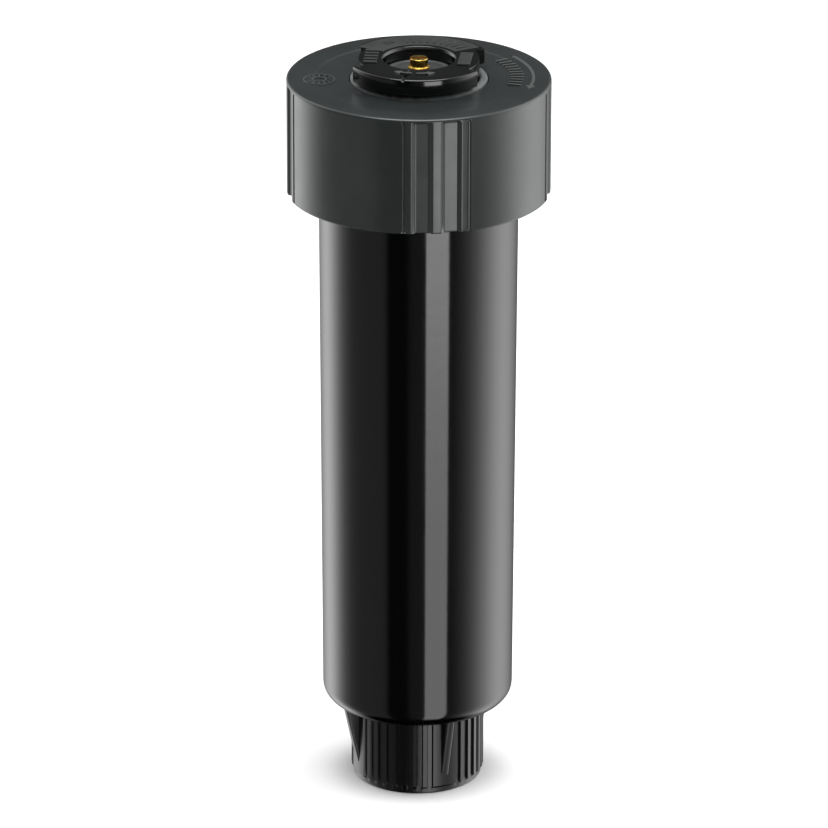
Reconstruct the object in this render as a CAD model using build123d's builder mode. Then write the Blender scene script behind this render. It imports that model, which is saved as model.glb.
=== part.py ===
from build123d import *
import os
from math import cos, radians, sin

# Pop-up spray sprinkler, in millimetres. The axis is +Z, the origin is on the axis at the bottom of the
# inlet boss, and -Y is the front. Every angle is measured about +Z from +X. The riser is drawn retracted.

# ---- driving dimensions ----
TRAVEL = 100.0  # how far the riser rises

INLET_MAJOR = 20.955 / 2  # G 1/2 internal thread
INLET_MINOR = 18.631 / 2
INLET_PITCH = 25.4 / 14

BOSS_RADIUS = 14.65
BOSS_TOP = 18.2
FLOOR_TOP = 22.5
BARREL_FOOT_RADIUS = 20.9
BARREL_HEAD_RADIUS = 21.6
BORE_RADIUS = 18.6
NECK_RADIUS = 24.0
FRONT_GUSSET_ANGLE = -65.4

CAP_RADIUS = 28.5
CAP_TOP = 162.5
CAP_HEIGHT = 25.7
CAP_ROOF = 3.0
CAP_HOLE_RADIUS = 15.0
GRIP_ANGLES = -82.2, -3.0, 97.8, 185.9  # middles of the four groups of grip flutes

RISER_RADIUS = 10.5
RISER_BORE_RADIUS = 8.3
HEAD_RADIUS = 15.45
HEAD_BOTTOM = 163.4
HEAD_TOP = 167.1
PLATE_TOP = 166.75
SCREW_RADIUS = 1.45
THROTTLE_TRAVEL = 2.8

# ---- fits ----
TURNING_GAP = 0.3  # between parts that turn or slide past each other
SCREW_GAP = 0.08  # round the adjusting screw
RESTING_GAP = 0.1  # under a part that stops against another

# ---- derived levels and radii ----
FLANGE_BOTTOM = 26.0
FLANGE_TOP = FLANGE_BOTTOM + 2.0
FLANGE_RADIUS = 17.2
TOOTH_HEIGHT = 0.8
TOOTH_COUNT = 36
RISER_RATCHET_TOP = FLANGE_TOP + 2.0 + TOOTH_HEIGHT
RING_BOTTOM = RISER_RATCHET_TOP + TURNING_GAP
RING_TOP = RING_BOTTOM + TOOTH_HEIGHT + 2.1
WASHER_TOP = RING_TOP + 0.5

CAP_BOTTOM = CAP_TOP - CAP_HEIGHT
ROOF_BOTTOM = CAP_TOP - CAP_ROOF
BODY_RIM = ROOF_BOTTOM - 1.5
SEAT_LEVEL = BODY_RIM - 4.1
SEAT_RADIUS = 20.9
RETAINER_TOP = SEAT_LEVEL + 2.2
CAP_THREAD_PITCH = 3.0
CAP_THREAD_TURNS = 5
CAP_THREAD_START = CAP_BOTTOM + 6.4

SHOULDER_RADIUS = 12.2
BASE_SEAL_TOP = SEAT_LEVEL - TRAVEL - RESTING_GAP
SHOULDER_TOP = BASE_SEAL_TOP - 1.2
SPRING_COILS = 14
SPRING_MEAN_RADIUS = 13.5
SPRING_WIRE = 1.3

NECK_BOTTOM = 149.4
RISER_TOP = 156.9
FILTER_FLANGE_BOTTOM = RISER_TOP + 0.6
WEB_BOTTOM = FILTER_FLANGE_BOTTOM + 0.7
WEB_TOP = WEB_BOTTOM + 1.4
CUP_RIM = HEAD_BOTTOM - 0.7
CORE_TOP = PLATE_TOP - 2.7
CORE_BOTTOM = CORE_TOP - 1.4
CORE_RADIUS = 7.3
RECESS_RADIUS = CORE_RADIUS + TURNING_GAP
LEDGE_TOP = CORE_BOTTOM - TURNING_GAP
HUB_BOTTOM = LEDGE_TOP - 1.0
CUP_INNER_RADIUS = 9.5
SCREW_HOLE_RADIUS = SCREW_RADIUS + SCREW_GAP
THROAT_BOTTOM = 150.0
THROAT_RADIUS = 5.6
THROAT_OUTER_RADIUS = 6.4
PLUG_RADIUS = 6.0
PLUG_BOTTOM = THROAT_BOTTOM - THROTTLE_TRAVEL - 3.2


def outline(*points):
    """A closed outline in the upright plane: radius, then height."""
    with BuildSketch(Plane.XZ) as section:
        with BuildLine():
            Polyline(*points, close=True)
        make_face()
    return section.sketch


def ring(inner, outer, bottom, top):
    """The section of a plain ring."""
    return outline((inner, bottom), (outer, bottom), (outer, top), (inner, top))


def circle_section(radius, height, size):
    """The round section of an O-ring at a radius and a height."""
    with BuildSketch(Plane.XZ) as section:
        with Locations((radius, height)):
            Circle(size)
    return section.sketch


def thread_ridges(root, crest, start, pitch, turns):
    """The sections of a coarse thread's turns, one above another, standing from root to crest."""
    foot = 0.27 * pitch
    tip = 0.13 * pitch
    with BuildSketch(Plane.XZ) as section:
        for turn in range(turns):
            level = start + turn * pitch
            corners = (root, level - foot), (crest, level - tip), (crest, level + tip), (root, level + foot)
            with BuildLine():
                Polyline(*corners, close=True)
            make_face()
    return section.sketch


def polar(radius, angle):
    """The point at a radius and an angle in degrees."""
    return radius * cos(radians(angle)), radius * sin(radians(angle))


def ring_sector(inner, outer, middle, spread, level):
    """A flat piece of a ring on a level plane, centred on one angle."""
    reach = 2 * outer
    with BuildSketch(Plane.XY.offset(level)) as section:
        Circle(outer)
        Circle(inner, mode=Mode.SUBTRACT)
        with BuildLine():
            start = polar(reach, middle - spread / 2)
            end = polar(reach, middle + spread / 2)
            Polyline((0, 0), start, polar(reach, middle), end, close=True)
        make_face(mode=Mode.INTERSECT)
    return section.sketch


# ---- housing: body shell ----
# The barrel tapers down to its foot, with a ribbed inlet boss under it and a threaded neck on top.
BARREL_SHOULDER = CAP_BOTTOM + 1.2
NECK_START = BARREL_SHOULDER + 3.0
FOOT_FILLET = 4.0
RIB_WIDTH = 1.6
RIB_HEIGHT = 1.0
RIB_COUNT = 4
GROOVE_DEPTH = 0.55
GROOVES_PER_QUARTER = 8
GROOVE_PITCH = 9.0
RIM_HEIGHT = 1.5
GUSSET_THICKNESS = 1.8
GUSSET_BOTTOM = 4.4
GUSSET_REACH = 17.8
INLET_TURNS = 8
INLET_START = 2.4

with BuildPart() as body_shell:
    revolve(
        outline(
            (INLET_MINOR, 0),
            (BOSS_RADIUS - GROOVE_DEPTH, 0),
            (BOSS_RADIUS - GROOVE_DEPTH, RIM_HEIGHT),
            (BOSS_RADIUS, RIM_HEIGHT),
            (BOSS_RADIUS, BOSS_TOP),
            (BARREL_FOOT_RADIUS, BOSS_TOP),
            (BARREL_HEAD_RADIUS, BARREL_SHOULDER),
            (NECK_RADIUS, NECK_START),
            (NECK_RADIUS, BODY_RIM),
            (SEAT_RADIUS, BODY_RIM),
            (SEAT_RADIUS, SEAT_LEVEL),
            (BORE_RADIUS, SEAT_LEVEL),
            (BORE_RADIUS, FLANGE_BOTTOM - RESTING_GAP),
            (FLANGE_RADIUS - 2.0, FLANGE_BOTTOM - RESTING_GAP),
            (FLANGE_RADIUS - 2.0, FLOOR_TOP),
            (INLET_MINOR, FLOOR_TOP),
        ),
        axis=Axis.Z,
    )
    foot_edge = body_shell.edges().filter_by(GeomType.CIRCLE).filter_by_position(Axis.Z, BOSS_TOP, BOSS_TOP)
    fillet(foot_edge.sort_by(SortBy.RADIUS)[-1], FOOT_FILLET)
    mouth = body_shell.edges().filter_by(GeomType.CIRCLE).filter_by_position(Axis.Z, 0, 0)
    chamfer(mouth.sort_by(SortBy.RADIUS)[0], INLET_MAJOR - INLET_MINOR)
    # cap thread
    revolve(
        thread_ridges(
            NECK_RADIUS - 0.2,
            NECK_RADIUS + 1.2,
            CAP_THREAD_START,
            CAP_THREAD_PITCH,
            CAP_THREAD_TURNS,
        ),
        axis=Axis.Z,
    )
    # inlet thread, drawn as one groove for each turn
    revolve(
        thread_ridges(INLET_MINOR - 0.01, INLET_MAJOR, INLET_START, INLET_PITCH, INLET_TURNS),
        axis=Axis.Z,
        mode=Mode.SUBTRACT,
    )
    # grip grooves of the boss, in four groups between the gussets
    for quarter in range(4):
        first = FRONT_GUSSET_ANGLE + 90 * quarter + 1.5 * GROOVE_PITCH
        with BuildSketch(Plane.XY.offset(RIM_HEIGHT)):
            with PolarLocations(
                BOSS_RADIUS,
                GROOVES_PER_QUARTER,
                start_angle=first,
                angular_range=GROOVE_PITCH * (GROOVES_PER_QUARTER - 1),
                endpoint=True,
            ):
                Rectangle(2 * GROOVE_DEPTH, BOSS_RADIUS * radians(GROOVE_PITCH) / 2)
        extrude(amount=BOSS_TOP - RIM_HEIGHT, mode=Mode.SUBTRACT)
    # gussets from the boss to the barrel's floor
    for quarter in range(4):
        turned = Plane.XZ.rotated((0, 0, FRONT_GUSSET_ANGLE + 90 * quarter))
        inside = BOSS_RADIUS - 1.0
        overlap = BOSS_TOP + 1.0
        with BuildSketch(turned):
            with BuildLine():
                Polyline(
                    (inside, GUSSET_BOTTOM),
                    (BOSS_RADIUS, GUSSET_BOTTOM),
                    (GUSSET_REACH, BOSS_TOP),
                    (GUSSET_REACH, overlap),
                    (inside, overlap),
                    close=True,
                )
            make_face()
        extrude(amount=GUSSET_THICKNESS / 2, both=True)
    # guide ribs that keep the ratchet ring from turning
    rib_bottom = FLANGE_BOTTOM - RESTING_GAP
    with BuildSketch(Plane.XY.offset(rib_bottom)):
        with PolarLocations(BORE_RADIUS, RIB_COUNT):
            Rectangle(2 * RIB_HEIGHT, RIB_WIDTH)
    extrude(amount=SEAT_LEVEL - 3 - rib_bottom)
body_shell.part.label = "body_shell"

# ---- housing: cap ----
# The skirt has four groups of grip flutes: two wide ones between two narrow end grooves.
CAP_THREAD_RADIUS = NECK_RADIUS + 1.6
FLUTE_OFFSET = 6.25
FLUTE_DEPTH = 0.7
FLUTE_FLOOR = 3.5
FLUTE_SLOPE = 0.7
FLUTE_TOP = CAP_TOP - 0.6
END_GROOVE_OFFSET = 14.4
END_GROOVE_RADIUS = 0.35
cutter_reach = 1.0
cutter_mouth = FLUTE_FLOOR + 2 * FLUTE_SLOPE * (FLUTE_DEPTH + cutter_reach)

with BuildPart() as cap:
    revolve(
        outline(
            (CAP_HOLE_RADIUS, ROOF_BOTTOM),
            (CAP_THREAD_RADIUS, ROOF_BOTTOM),
            (CAP_THREAD_RADIUS, CAP_BOTTOM),
            (CAP_RADIUS, CAP_BOTTOM),
            (CAP_RADIUS, CAP_TOP),
            (CAP_HOLE_RADIUS, CAP_TOP),
        ),
        axis=Axis.Z,
    )
    rims = cap.edges().filter_by(GeomType.CIRCLE).filter_by_position(Axis.Z, CAP_TOP, CAP_TOP)
    fillet(rims, 0.5)
    revolve(
        thread_ridges(
            CAP_THREAD_RADIUS + 0.2,
            CAP_THREAD_RADIUS - 1.2,
            CAP_THREAD_START + CAP_THREAD_PITCH / 2,
            CAP_THREAD_PITCH,
            CAP_THREAD_TURNS - 1,
        ),
        axis=Axis.Z,
    )
    for grip in GRIP_ANGLES:
        for side in (-1, 1):
            with BuildSketch(Plane.XY.offset(CAP_BOTTOM)):
                with PolarLocations(CAP_RADIUS, 1, start_angle=grip + side * FLUTE_OFFSET):
                    Polygon(
                        (-FLUTE_DEPTH, -FLUTE_FLOOR / 2),
                        (cutter_reach, -cutter_mouth / 2),
                        (cutter_reach, cutter_mouth / 2),
                        (-FLUTE_DEPTH, FLUTE_FLOOR / 2),
                        align=None,
                    )
                with PolarLocations(CAP_RADIUS, 1, start_angle=grip + side * END_GROOVE_OFFSET):
                    Circle(END_GROOVE_RADIUS)
            extrude(amount=FLUTE_TOP - CAP_BOTTOM, mode=Mode.SUBTRACT)
cap.part.label = "cap"

# ---- housing: wiper seal ----
# A flange clamped on the body's rim, a bead standing in the cap's hole, and a lip round the riser.
LIP_RADIUS = RISER_RADIUS + TURNING_GAP
BEAD_RADIUS = CAP_HOLE_RADIUS - 0.2
BEAD_TOP = HEAD_BOTTOM - 0.55

with BuildPart() as wiper_seal:
    revolve(
        outline(
            (LIP_RADIUS, RETAINER_TOP + 0.9),
            (LIP_RADIUS + 0.9, RETAINER_TOP),
            (SEAT_RADIUS - 0.1, RETAINER_TOP),
            (SEAT_RADIUS - 0.1, BODY_RIM),
            (NECK_RADIUS - 0.4, BODY_RIM),
            (NECK_RADIUS - 0.4, ROOF_BOTTOM),
            (BEAD_RADIUS, ROOF_BOTTOM),
            (BEAD_RADIUS, BEAD_TOP - 0.6),
            (BEAD_RADIUS - 0.6, BEAD_TOP),
            (BEAD_RADIUS - 1.5, BEAD_TOP),
            (BEAD_RADIUS - 2.1, BEAD_TOP - 0.6),
            (BEAD_RADIUS - 2.1, ROOF_BOTTOM + 0.4),
            (LIP_RADIUS + 1.0, ROOF_BOTTOM - 0.4),
            (LIP_RADIUS, ROOF_BOTTOM - 1.4),
        ),
        axis=Axis.Z,
    )
wiper_seal.part.label = "wiper_seal"

# ---- housing: seal retainer ----
with BuildPart() as seal_retainer:
    revolve(ring(LIP_RADIUS + 0.4, SEAT_RADIUS - 0.1, SEAT_LEVEL, RETAINER_TOP), axis=Axis.Z)
seal_retainer.part.label = "seal_retainer"

# ---- housing: retract spring ----
spring_bottom = WASHER_TOP + SPRING_WIRE / 2
spring_height = SEAT_LEVEL - WASHER_TOP - SPRING_WIRE

with BuildPart() as retract_spring:
    with BuildLine():
        coil = Helix(
            pitch=spring_height / SPRING_COILS,
            height=spring_height,
            radius=SPRING_MEAN_RADIUS,
            center=(0, 0, spring_bottom),
        )
    with BuildSketch(Plane(origin=coil @ 0, z_dir=coil % 0)):
        Circle(SPRING_WIRE / 2)
    sweep(path=coil, is_frenet=True)
retract_spring.part.label = "retract_spring"

# ---- ratchet carriage: ratchet ring and spring washer ----
# The ring slides in the body on the guide ribs, with its teeth facing down.
with BuildPart() as ratchet_ring:
    ring_hole = SHOULDER_RADIUS + TURNING_GAP
    revolve(ring(ring_hole, BORE_RADIUS - TURNING_GAP, RING_BOTTOM, RING_TOP), axis=Axis.Z)
    with BuildSketch(Plane.XY.offset(RING_BOTTOM)):
        with PolarLocations(BORE_RADIUS, RIB_COUNT):
            Rectangle(2 * (RIB_HEIGHT + TURNING_GAP), RIB_WIDTH + 2 * TURNING_GAP)
    extrude(amount=RING_TOP - RING_BOTTOM, mode=Mode.SUBTRACT)
    with BuildSketch(Plane.XY.offset(RING_BOTTOM)):
        with PolarLocations((SHOULDER_RADIUS + FLANGE_RADIUS) / 2, TOOTH_COUNT):
            Rectangle(FLANGE_RADIUS - SHOULDER_RADIUS + 4, 1.1)
    extrude(amount=TOOTH_HEIGHT, mode=Mode.SUBTRACT)
ratchet_ring.part.label = "ratchet_ring"

with BuildPart() as spring_washer:
    revolve(ring(SHOULDER_RADIUS + TURNING_GAP, SPRING_MEAN_RADIUS + 1.2, RING_TOP, WASHER_TOP), axis=Axis.Z)
spring_washer.part.label = "spring_washer"

# ---- riser: tube, tooth ring and base seal ----
with BuildPart() as riser_tube:
    revolve(
        outline(
            (RISER_BORE_RADIUS, FLANGE_BOTTOM),
            (FLANGE_RADIUS, FLANGE_BOTTOM),
            (FLANGE_RADIUS, FLANGE_TOP),
            (SHOULDER_RADIUS, FLANGE_TOP),
            (SHOULDER_RADIUS, SHOULDER_TOP),
            (RISER_RADIUS, SHOULDER_TOP),
            (RISER_RADIUS, NECK_BOTTOM),
            (RISER_RADIUS - 1.3, NECK_BOTTOM),
            (RISER_RADIUS - 1.3, RISER_TOP),
            (RISER_BORE_RADIUS, RISER_TOP),
        ),
        axis=Axis.Z,
    )
    revolve(thread_ridges(RISER_RADIUS - 1.4, RISER_RADIUS - 0.9, NECK_BOTTOM + 1.6, 1.5, 4), axis=Axis.Z)
riser_tube.part.label = "riser_tube"

with BuildPart() as riser_ratchet:
    revolve(ring(SHOULDER_RADIUS, FLANGE_RADIUS, FLANGE_TOP, RISER_RATCHET_TOP), axis=Axis.Z)
    with BuildSketch(Plane.XY.offset(RISER_RATCHET_TOP)):
        with PolarLocations((SHOULDER_RADIUS + FLANGE_RADIUS) / 2, TOOTH_COUNT):
            Rectangle(FLANGE_RADIUS - SHOULDER_RADIUS + 1, 1.1)
    extrude(amount=-TOOTH_HEIGHT, mode=Mode.SUBTRACT)
riser_ratchet.part.label = "riser_ratchet"

with BuildPart() as riser_base_seal:
    revolve(ring(RISER_RADIUS, SHOULDER_RADIUS, SHOULDER_TOP, BASE_SEAL_TOP), axis=Axis.Z)
riser_base_seal.part.label = "riser_base_seal"

# ---- riser: filter basket with its mesh, and the gasket under it ----
BASKET_RADIUS = 7.6
BASKET_WALL = 0.7
BASKET_BOTTOM = 112.0
BASKET_TOP = 143.0
WINDOW_TIERS = 2
WINDOW_COUNT = 6
WINDOW_GAP = 1.6
window_height = (BASKET_TOP - BASKET_BOTTOM - 3 * WINDOW_GAP) / WINDOW_TIERS

with BuildPart() as filter_frame:
    revolve(
        outline(
            (0, BASKET_BOTTOM),
            (BASKET_RADIUS, BASKET_BOTTOM),
            (BASKET_RADIUS, FILTER_FLANGE_BOTTOM),
            (RISER_RADIUS - 1.3, FILTER_FLANGE_BOTTOM),
            (RISER_RADIUS - 1.3, WEB_BOTTOM),
            (BASKET_RADIUS - BASKET_WALL, WEB_BOTTOM),
            (BASKET_RADIUS - BASKET_WALL, BASKET_BOTTOM + 1.2),
            (0, BASKET_BOTTOM + 1.2),
        ),
        axis=Axis.Z,
    )
    for tier in range(WINDOW_TIERS):
        sill = BASKET_BOTTOM + 1.2 + WINDOW_GAP + tier * (window_height + WINDOW_GAP)
        with BuildSketch(Plane.XY.offset(sill)):
            with PolarLocations(BASKET_RADIUS, WINDOW_COUNT):
                Rectangle(4, 2 * (BASKET_RADIUS * sin(radians(180 / WINDOW_COUNT)) - WINDOW_GAP / 2))
        extrude(amount=window_height - WINDOW_GAP, mode=Mode.SUBTRACT)
filter_frame.part.label = "filter_frame"

with BuildPart() as filter_mesh:
    mesh_radius = BASKET_RADIUS - BASKET_WALL
    revolve(ring(mesh_radius - 0.15, mesh_radius, BASKET_BOTTOM + 1.2, BASKET_TOP), axis=Axis.Z)
filter_mesh.part.label = "filter_mesh"

with BuildPart() as nozzle_gasket:
    revolve(ring(RISER_BORE_RADIUS, RISER_RADIUS - 1.3, RISER_TOP, FILTER_FLANGE_BOTTOM), axis=Axis.Z)
nozzle_gasket.part.label = "nozzle_gasket"

# ---- riser: nozzle base ----
# A cup on a ported web, screwed over the riser's neck, with a throat below that the throttle plug closes.
SHUTTER_SPREAD = 180.0
SHUTTER_HEIGHT = 0.5
BASE_RADIUS = RISER_RADIUS - 0.05
PORT_COUNT = 6
LEG_WIDTH = 1.6

with BuildPart() as nozzle_base:
    revolve(
        outline(
            (SCREW_HOLE_RADIUS, WEB_BOTTOM),
            (THROAT_RADIUS, WEB_BOTTOM),
            (THROAT_RADIUS, THROAT_BOTTOM),
            (THROAT_OUTER_RADIUS, THROAT_BOTTOM),
            (THROAT_OUTER_RADIUS, WEB_BOTTOM),
            (RISER_RADIUS - 0.75, WEB_BOTTOM),
            (RISER_RADIUS - 0.75, NECK_BOTTOM + 0.2),
            (BASE_RADIUS, NECK_BOTTOM + 0.2),
            (BASE_RADIUS, CUP_RIM),
            (CUP_INNER_RADIUS, CUP_RIM),
            (CUP_INNER_RADIUS, WEB_TOP),
            (SCREW_HOLE_RADIUS, WEB_TOP),
        ),
        axis=Axis.Z,
    )
    with BuildSketch(Plane.XY.offset(WEB_BOTTOM)):
        with PolarLocations(4.45, PORT_COUNT):
            Circle(0.85)
    extrude(amount=WEB_TOP - WEB_BOTTOM, mode=Mode.SUBTRACT)
    # fixed shutter, across the back half of the slit under the head
    extrude(ring_sector(CUP_INNER_RADIUS, BASE_RADIUS, 90, SHUTTER_SPREAD, CUP_RIM), amount=SHUTTER_HEIGHT)
    # legs that keep the throttle plug from turning
    for side in (0, 180):
        leg = ring_sector(THROAT_RADIUS, THROAT_OUTER_RADIUS, side, 16, PLUG_BOTTOM)
        extrude(leg, amount=THROAT_BOTTOM - PLUG_BOTTOM)
nozzle_base.part.label = "nozzle_base"

# ---- riser: deflector core ----
CORE_BOSS_RADIUS = 2.7
CORE_BOSS_TOP = CORE_TOP + 0.45

with BuildPart() as deflector_core:
    revolve(
        outline(
            (SCREW_HOLE_RADIUS, WEB_TOP + 1.3),
            (2.6, WEB_TOP + 1.3),
            (2.6, WEB_TOP),
            (3.4, WEB_TOP),
            (3.4, WEB_TOP + 1.6),
            (4.7, WEB_TOP + 1.6),
            (4.7, CORE_BOTTOM),
            (CORE_RADIUS, CORE_BOTTOM),
            (CORE_RADIUS, CORE_TOP),
            (CORE_BOSS_RADIUS, CORE_TOP),
            (CORE_BOSS_RADIUS, CORE_BOSS_TOP),
            (SCREW_HOLE_RADIUS, CORE_BOSS_TOP),
        ),
        axis=Axis.Z,
    )
deflector_core.part.label = "deflector_core"

with BuildPart() as sector_friction_ring:
    revolve(circle_section(5.5, WEB_TOP + 2.2, 0.7), axis=Axis.Z)
sector_friction_ring.part.label = "sector_friction_ring"

with BuildPart() as screw_o_ring:
    revolve(circle_section(SCREW_RADIUS + 0.58, WEB_TOP + 0.6, 0.5), axis=Axis.Z)
screw_o_ring.part.label = "screw_o_ring"

# ---- sector collar: the notched head ----
# Turning it moves its shutter past the fixed one, which sets the width of the spray.
NOTCH_RADIUS = 13.0
NOTCH_SPREAD = 60.0
NOTCH_ANGLE = -6.0
HUB_RADIUS = 8.8
LEDGE_INNER_RADIUS = 6.4
RECESS_CHAMFER = 0.6
RIM_FILLET = 0.45
PAD_RADIUS = 9.95
PAD_LENGTH = 2.7
PAD_WIDTH = 8.0
BAR_PAD_RADIUS = 10.25
BAR_PAD_ANGLE = 176.0
BAR_LENGTH = 2.9
BAR_WIDTH = 1.0
BAR_PITCH = 1.9

with BuildPart() as sector_ring:
    revolve(
        outline(
            (LEDGE_INNER_RADIUS, HUB_BOTTOM),
            (HUB_RADIUS, HUB_BOTTOM),
            (HUB_RADIUS, HEAD_BOTTOM),
            (HEAD_RADIUS, HEAD_BOTTOM),
            (HEAD_RADIUS, PLATE_TOP),
            (RECESS_RADIUS + RECESS_CHAMFER, PLATE_TOP),
            (RECESS_RADIUS, PLATE_TOP - RECESS_CHAMFER),
            (RECESS_RADIUS, LEDGE_TOP),
            (LEDGE_INNER_RADIUS, LEDGE_TOP),
        ),
        axis=Axis.Z,
    )
    circles = sector_ring.edges().filter_by(GeomType.CIRCLE)
    plate_rims = circles.filter_by_position(Axis.Z, PLATE_TOP, PLATE_TOP)
    fillet(plate_rims.sort_by(SortBy.RADIUS)[-1], RIM_FILLET)
    for side in (0, 180):
        notch = ring_sector(NOTCH_RADIUS, HEAD_RADIUS + 1, NOTCH_ANGLE + side, NOTCH_SPREAD, HEAD_BOTTOM)
        extrude(notch, amount=HEAD_TOP - HEAD_BOTTOM, mode=Mode.SUBTRACT)
    # moving shutter, inside the cup's wall
    shutter = ring_sector(HUB_RADIUS - 0.1, CUP_INNER_RADIUS - TURNING_GAP, -90, SHUTTER_SPREAD, HUB_BOTTOM)
    extrude(shutter, amount=HEAD_BOTTOM - HUB_BOTTOM)
    # thumb pads either side of the recess: one plain, one of five bars
    with BuildSketch(Plane.XY.offset(PLATE_TOP)):
        with PolarLocations(PAD_RADIUS, 1, start_angle=NOTCH_ANGLE):
            Rectangle(PAD_LENGTH, PAD_WIDTH)
        with PolarLocations(BAR_PAD_RADIUS, 1, start_angle=BAR_PAD_ANGLE):
            with GridLocations(BAR_PITCH, BAR_PITCH, 1, 5):
                Rectangle(BAR_LENGTH, BAR_WIDTH)
    extrude(amount=HEAD_TOP - PLATE_TOP)
sector_ring.part.label = "sector_ring"

# ---- radius adjustment: screw, clip and throttle plug ----
SCREW_HEAD_RADIUS = 1.95
SCREW_FLANGE_RADIUS = 2.4
SCREW_FLANGE_BOTTOM = CORE_BOSS_TOP + RESTING_GAP
SCREW_FLANGE_TOP = SCREW_FLANGE_BOTTOM + 0.7
SCREW_TOP = PLATE_TOP + 0.05
SLOT_WIDTH = 0.8
SLOT_DEPTH = 1.1
CLIP_TOP = WEB_BOTTOM - RESTING_GAP
CLIP_THICKNESS = 0.5
CLIP_RADIUS = 2.7
GROOVE_RADIUS = 1.15
SCREW_BOTTOM = PLUG_BOTTOM - 1.0

with BuildPart() as adjusting_screw:
    revolve(
        outline(
            (0, SCREW_BOTTOM),
            (SCREW_RADIUS, SCREW_BOTTOM),
            (SCREW_RADIUS, CLIP_TOP - CLIP_THICKNESS),
            (GROOVE_RADIUS, CLIP_TOP - CLIP_THICKNESS),
            (GROOVE_RADIUS, CLIP_TOP),
            (SCREW_RADIUS, CLIP_TOP),
            (SCREW_RADIUS, SCREW_FLANGE_BOTTOM),
            (SCREW_FLANGE_RADIUS, SCREW_FLANGE_BOTTOM),
            (SCREW_FLANGE_RADIUS, SCREW_FLANGE_TOP),
            (SCREW_HEAD_RADIUS, SCREW_FLANGE_TOP),
            (SCREW_HEAD_RADIUS, SCREW_TOP),
            (0, SCREW_TOP),
        ),
        axis=Axis.Z,
    )
    with BuildSketch(Plane.XY.offset(SCREW_TOP)):
        Rectangle(3 * SCREW_HEAD_RADIUS, SLOT_WIDTH, rotation=8)
    extrude(amount=-SLOT_DEPTH, mode=Mode.SUBTRACT)
adjusting_screw.part.label = "adjusting_screw"

with BuildPart() as screw_clip:
    with BuildSketch(Plane.XY.offset(CLIP_TOP - CLIP_THICKNESS)):
        Circle(CLIP_RADIUS)
        Circle(GROOVE_RADIUS, mode=Mode.SUBTRACT)
        with Locations((0, -CLIP_RADIUS)):
            Rectangle(1.6 * GROOVE_RADIUS, 2 * CLIP_RADIUS, mode=Mode.SUBTRACT)
    extrude(amount=CLIP_THICKNESS)
screw_clip.part.label = "screw_clip"

with BuildPart() as throttle_plug:
    revolve(
        outline(
            (SCREW_HOLE_RADIUS, PLUG_BOTTOM),
            (PLUG_RADIUS, PLUG_BOTTOM),
            (PLUG_RADIUS, PLUG_BOTTOM + 2.5),
            (PLUG_RADIUS - 2.0, PLUG_BOTTOM + 4.5),
            (SCREW_HOLE_RADIUS, PLUG_BOTTOM + 4.5),
        ),
        axis=Axis.Z,
    )
    with BuildSketch(Plane.XY.offset(PLUG_BOTTOM)):
        with PolarLocations(PLUG_RADIUS, 2):
            Rectangle(2 * (PLUG_RADIUS - THROAT_RADIUS + TURNING_GAP), LEG_WIDTH + 0.8)
    extrude(amount=4.5, mode=Mode.SUBTRACT)
throttle_plug.part.label = "throttle_plug"

# ---- export ----
os.makedirs("parts", exist_ok=True)
pieces = (
    body_shell,
    cap,
    wiper_seal,
    seal_retainer,
    retract_spring,
    ratchet_ring,
    spring_washer,
    riser_tube,
    riser_ratchet,
    riser_base_seal,
    filter_frame,
    filter_mesh,
    nozzle_gasket,
    nozzle_base,
    deflector_core,
    sector_friction_ring,
    screw_o_ring,
    sector_ring,
    adjusting_screw,
    screw_clip,
    throttle_plug,
)
for piece in pieces:
    export_step(piece.part, f"parts/{piece.part.label}.step")
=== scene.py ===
from math import cos, degrees, pi, radians, sin, tan

import bmesh
import bpy
from mathutils import Matrix, Vector


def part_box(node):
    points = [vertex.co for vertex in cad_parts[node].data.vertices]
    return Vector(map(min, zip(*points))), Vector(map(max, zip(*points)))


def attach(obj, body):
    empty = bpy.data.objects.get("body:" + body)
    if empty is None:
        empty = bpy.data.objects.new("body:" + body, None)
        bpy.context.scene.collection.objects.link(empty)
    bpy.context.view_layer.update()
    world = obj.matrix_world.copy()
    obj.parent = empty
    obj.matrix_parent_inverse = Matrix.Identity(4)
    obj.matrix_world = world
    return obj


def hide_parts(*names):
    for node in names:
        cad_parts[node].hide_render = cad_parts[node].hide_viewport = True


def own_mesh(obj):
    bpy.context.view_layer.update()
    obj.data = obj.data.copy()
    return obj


# Pop-up sprinkler: the visible pieces and their materials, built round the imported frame.
# Lengths below are in millimetres and angles in degrees about +Z from +X, as in the CAD model.

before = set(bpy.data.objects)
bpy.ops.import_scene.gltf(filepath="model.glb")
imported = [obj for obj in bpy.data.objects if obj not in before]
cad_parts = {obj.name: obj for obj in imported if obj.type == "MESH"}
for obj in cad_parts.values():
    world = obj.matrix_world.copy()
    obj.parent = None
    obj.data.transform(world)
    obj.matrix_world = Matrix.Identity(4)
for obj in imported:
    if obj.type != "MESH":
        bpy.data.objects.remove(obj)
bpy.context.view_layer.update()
MM = 0.001
SAME = 0.05  # radii that differ by less belong to the same wall


def extent(node):
    """(outer radius, lowest height, highest height) of a CAD node, in millimetres."""
    low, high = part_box(node)
    return max(high.x, -low.x, high.y, -low.y) / MM, low.z / MM, high.z / MM


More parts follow.
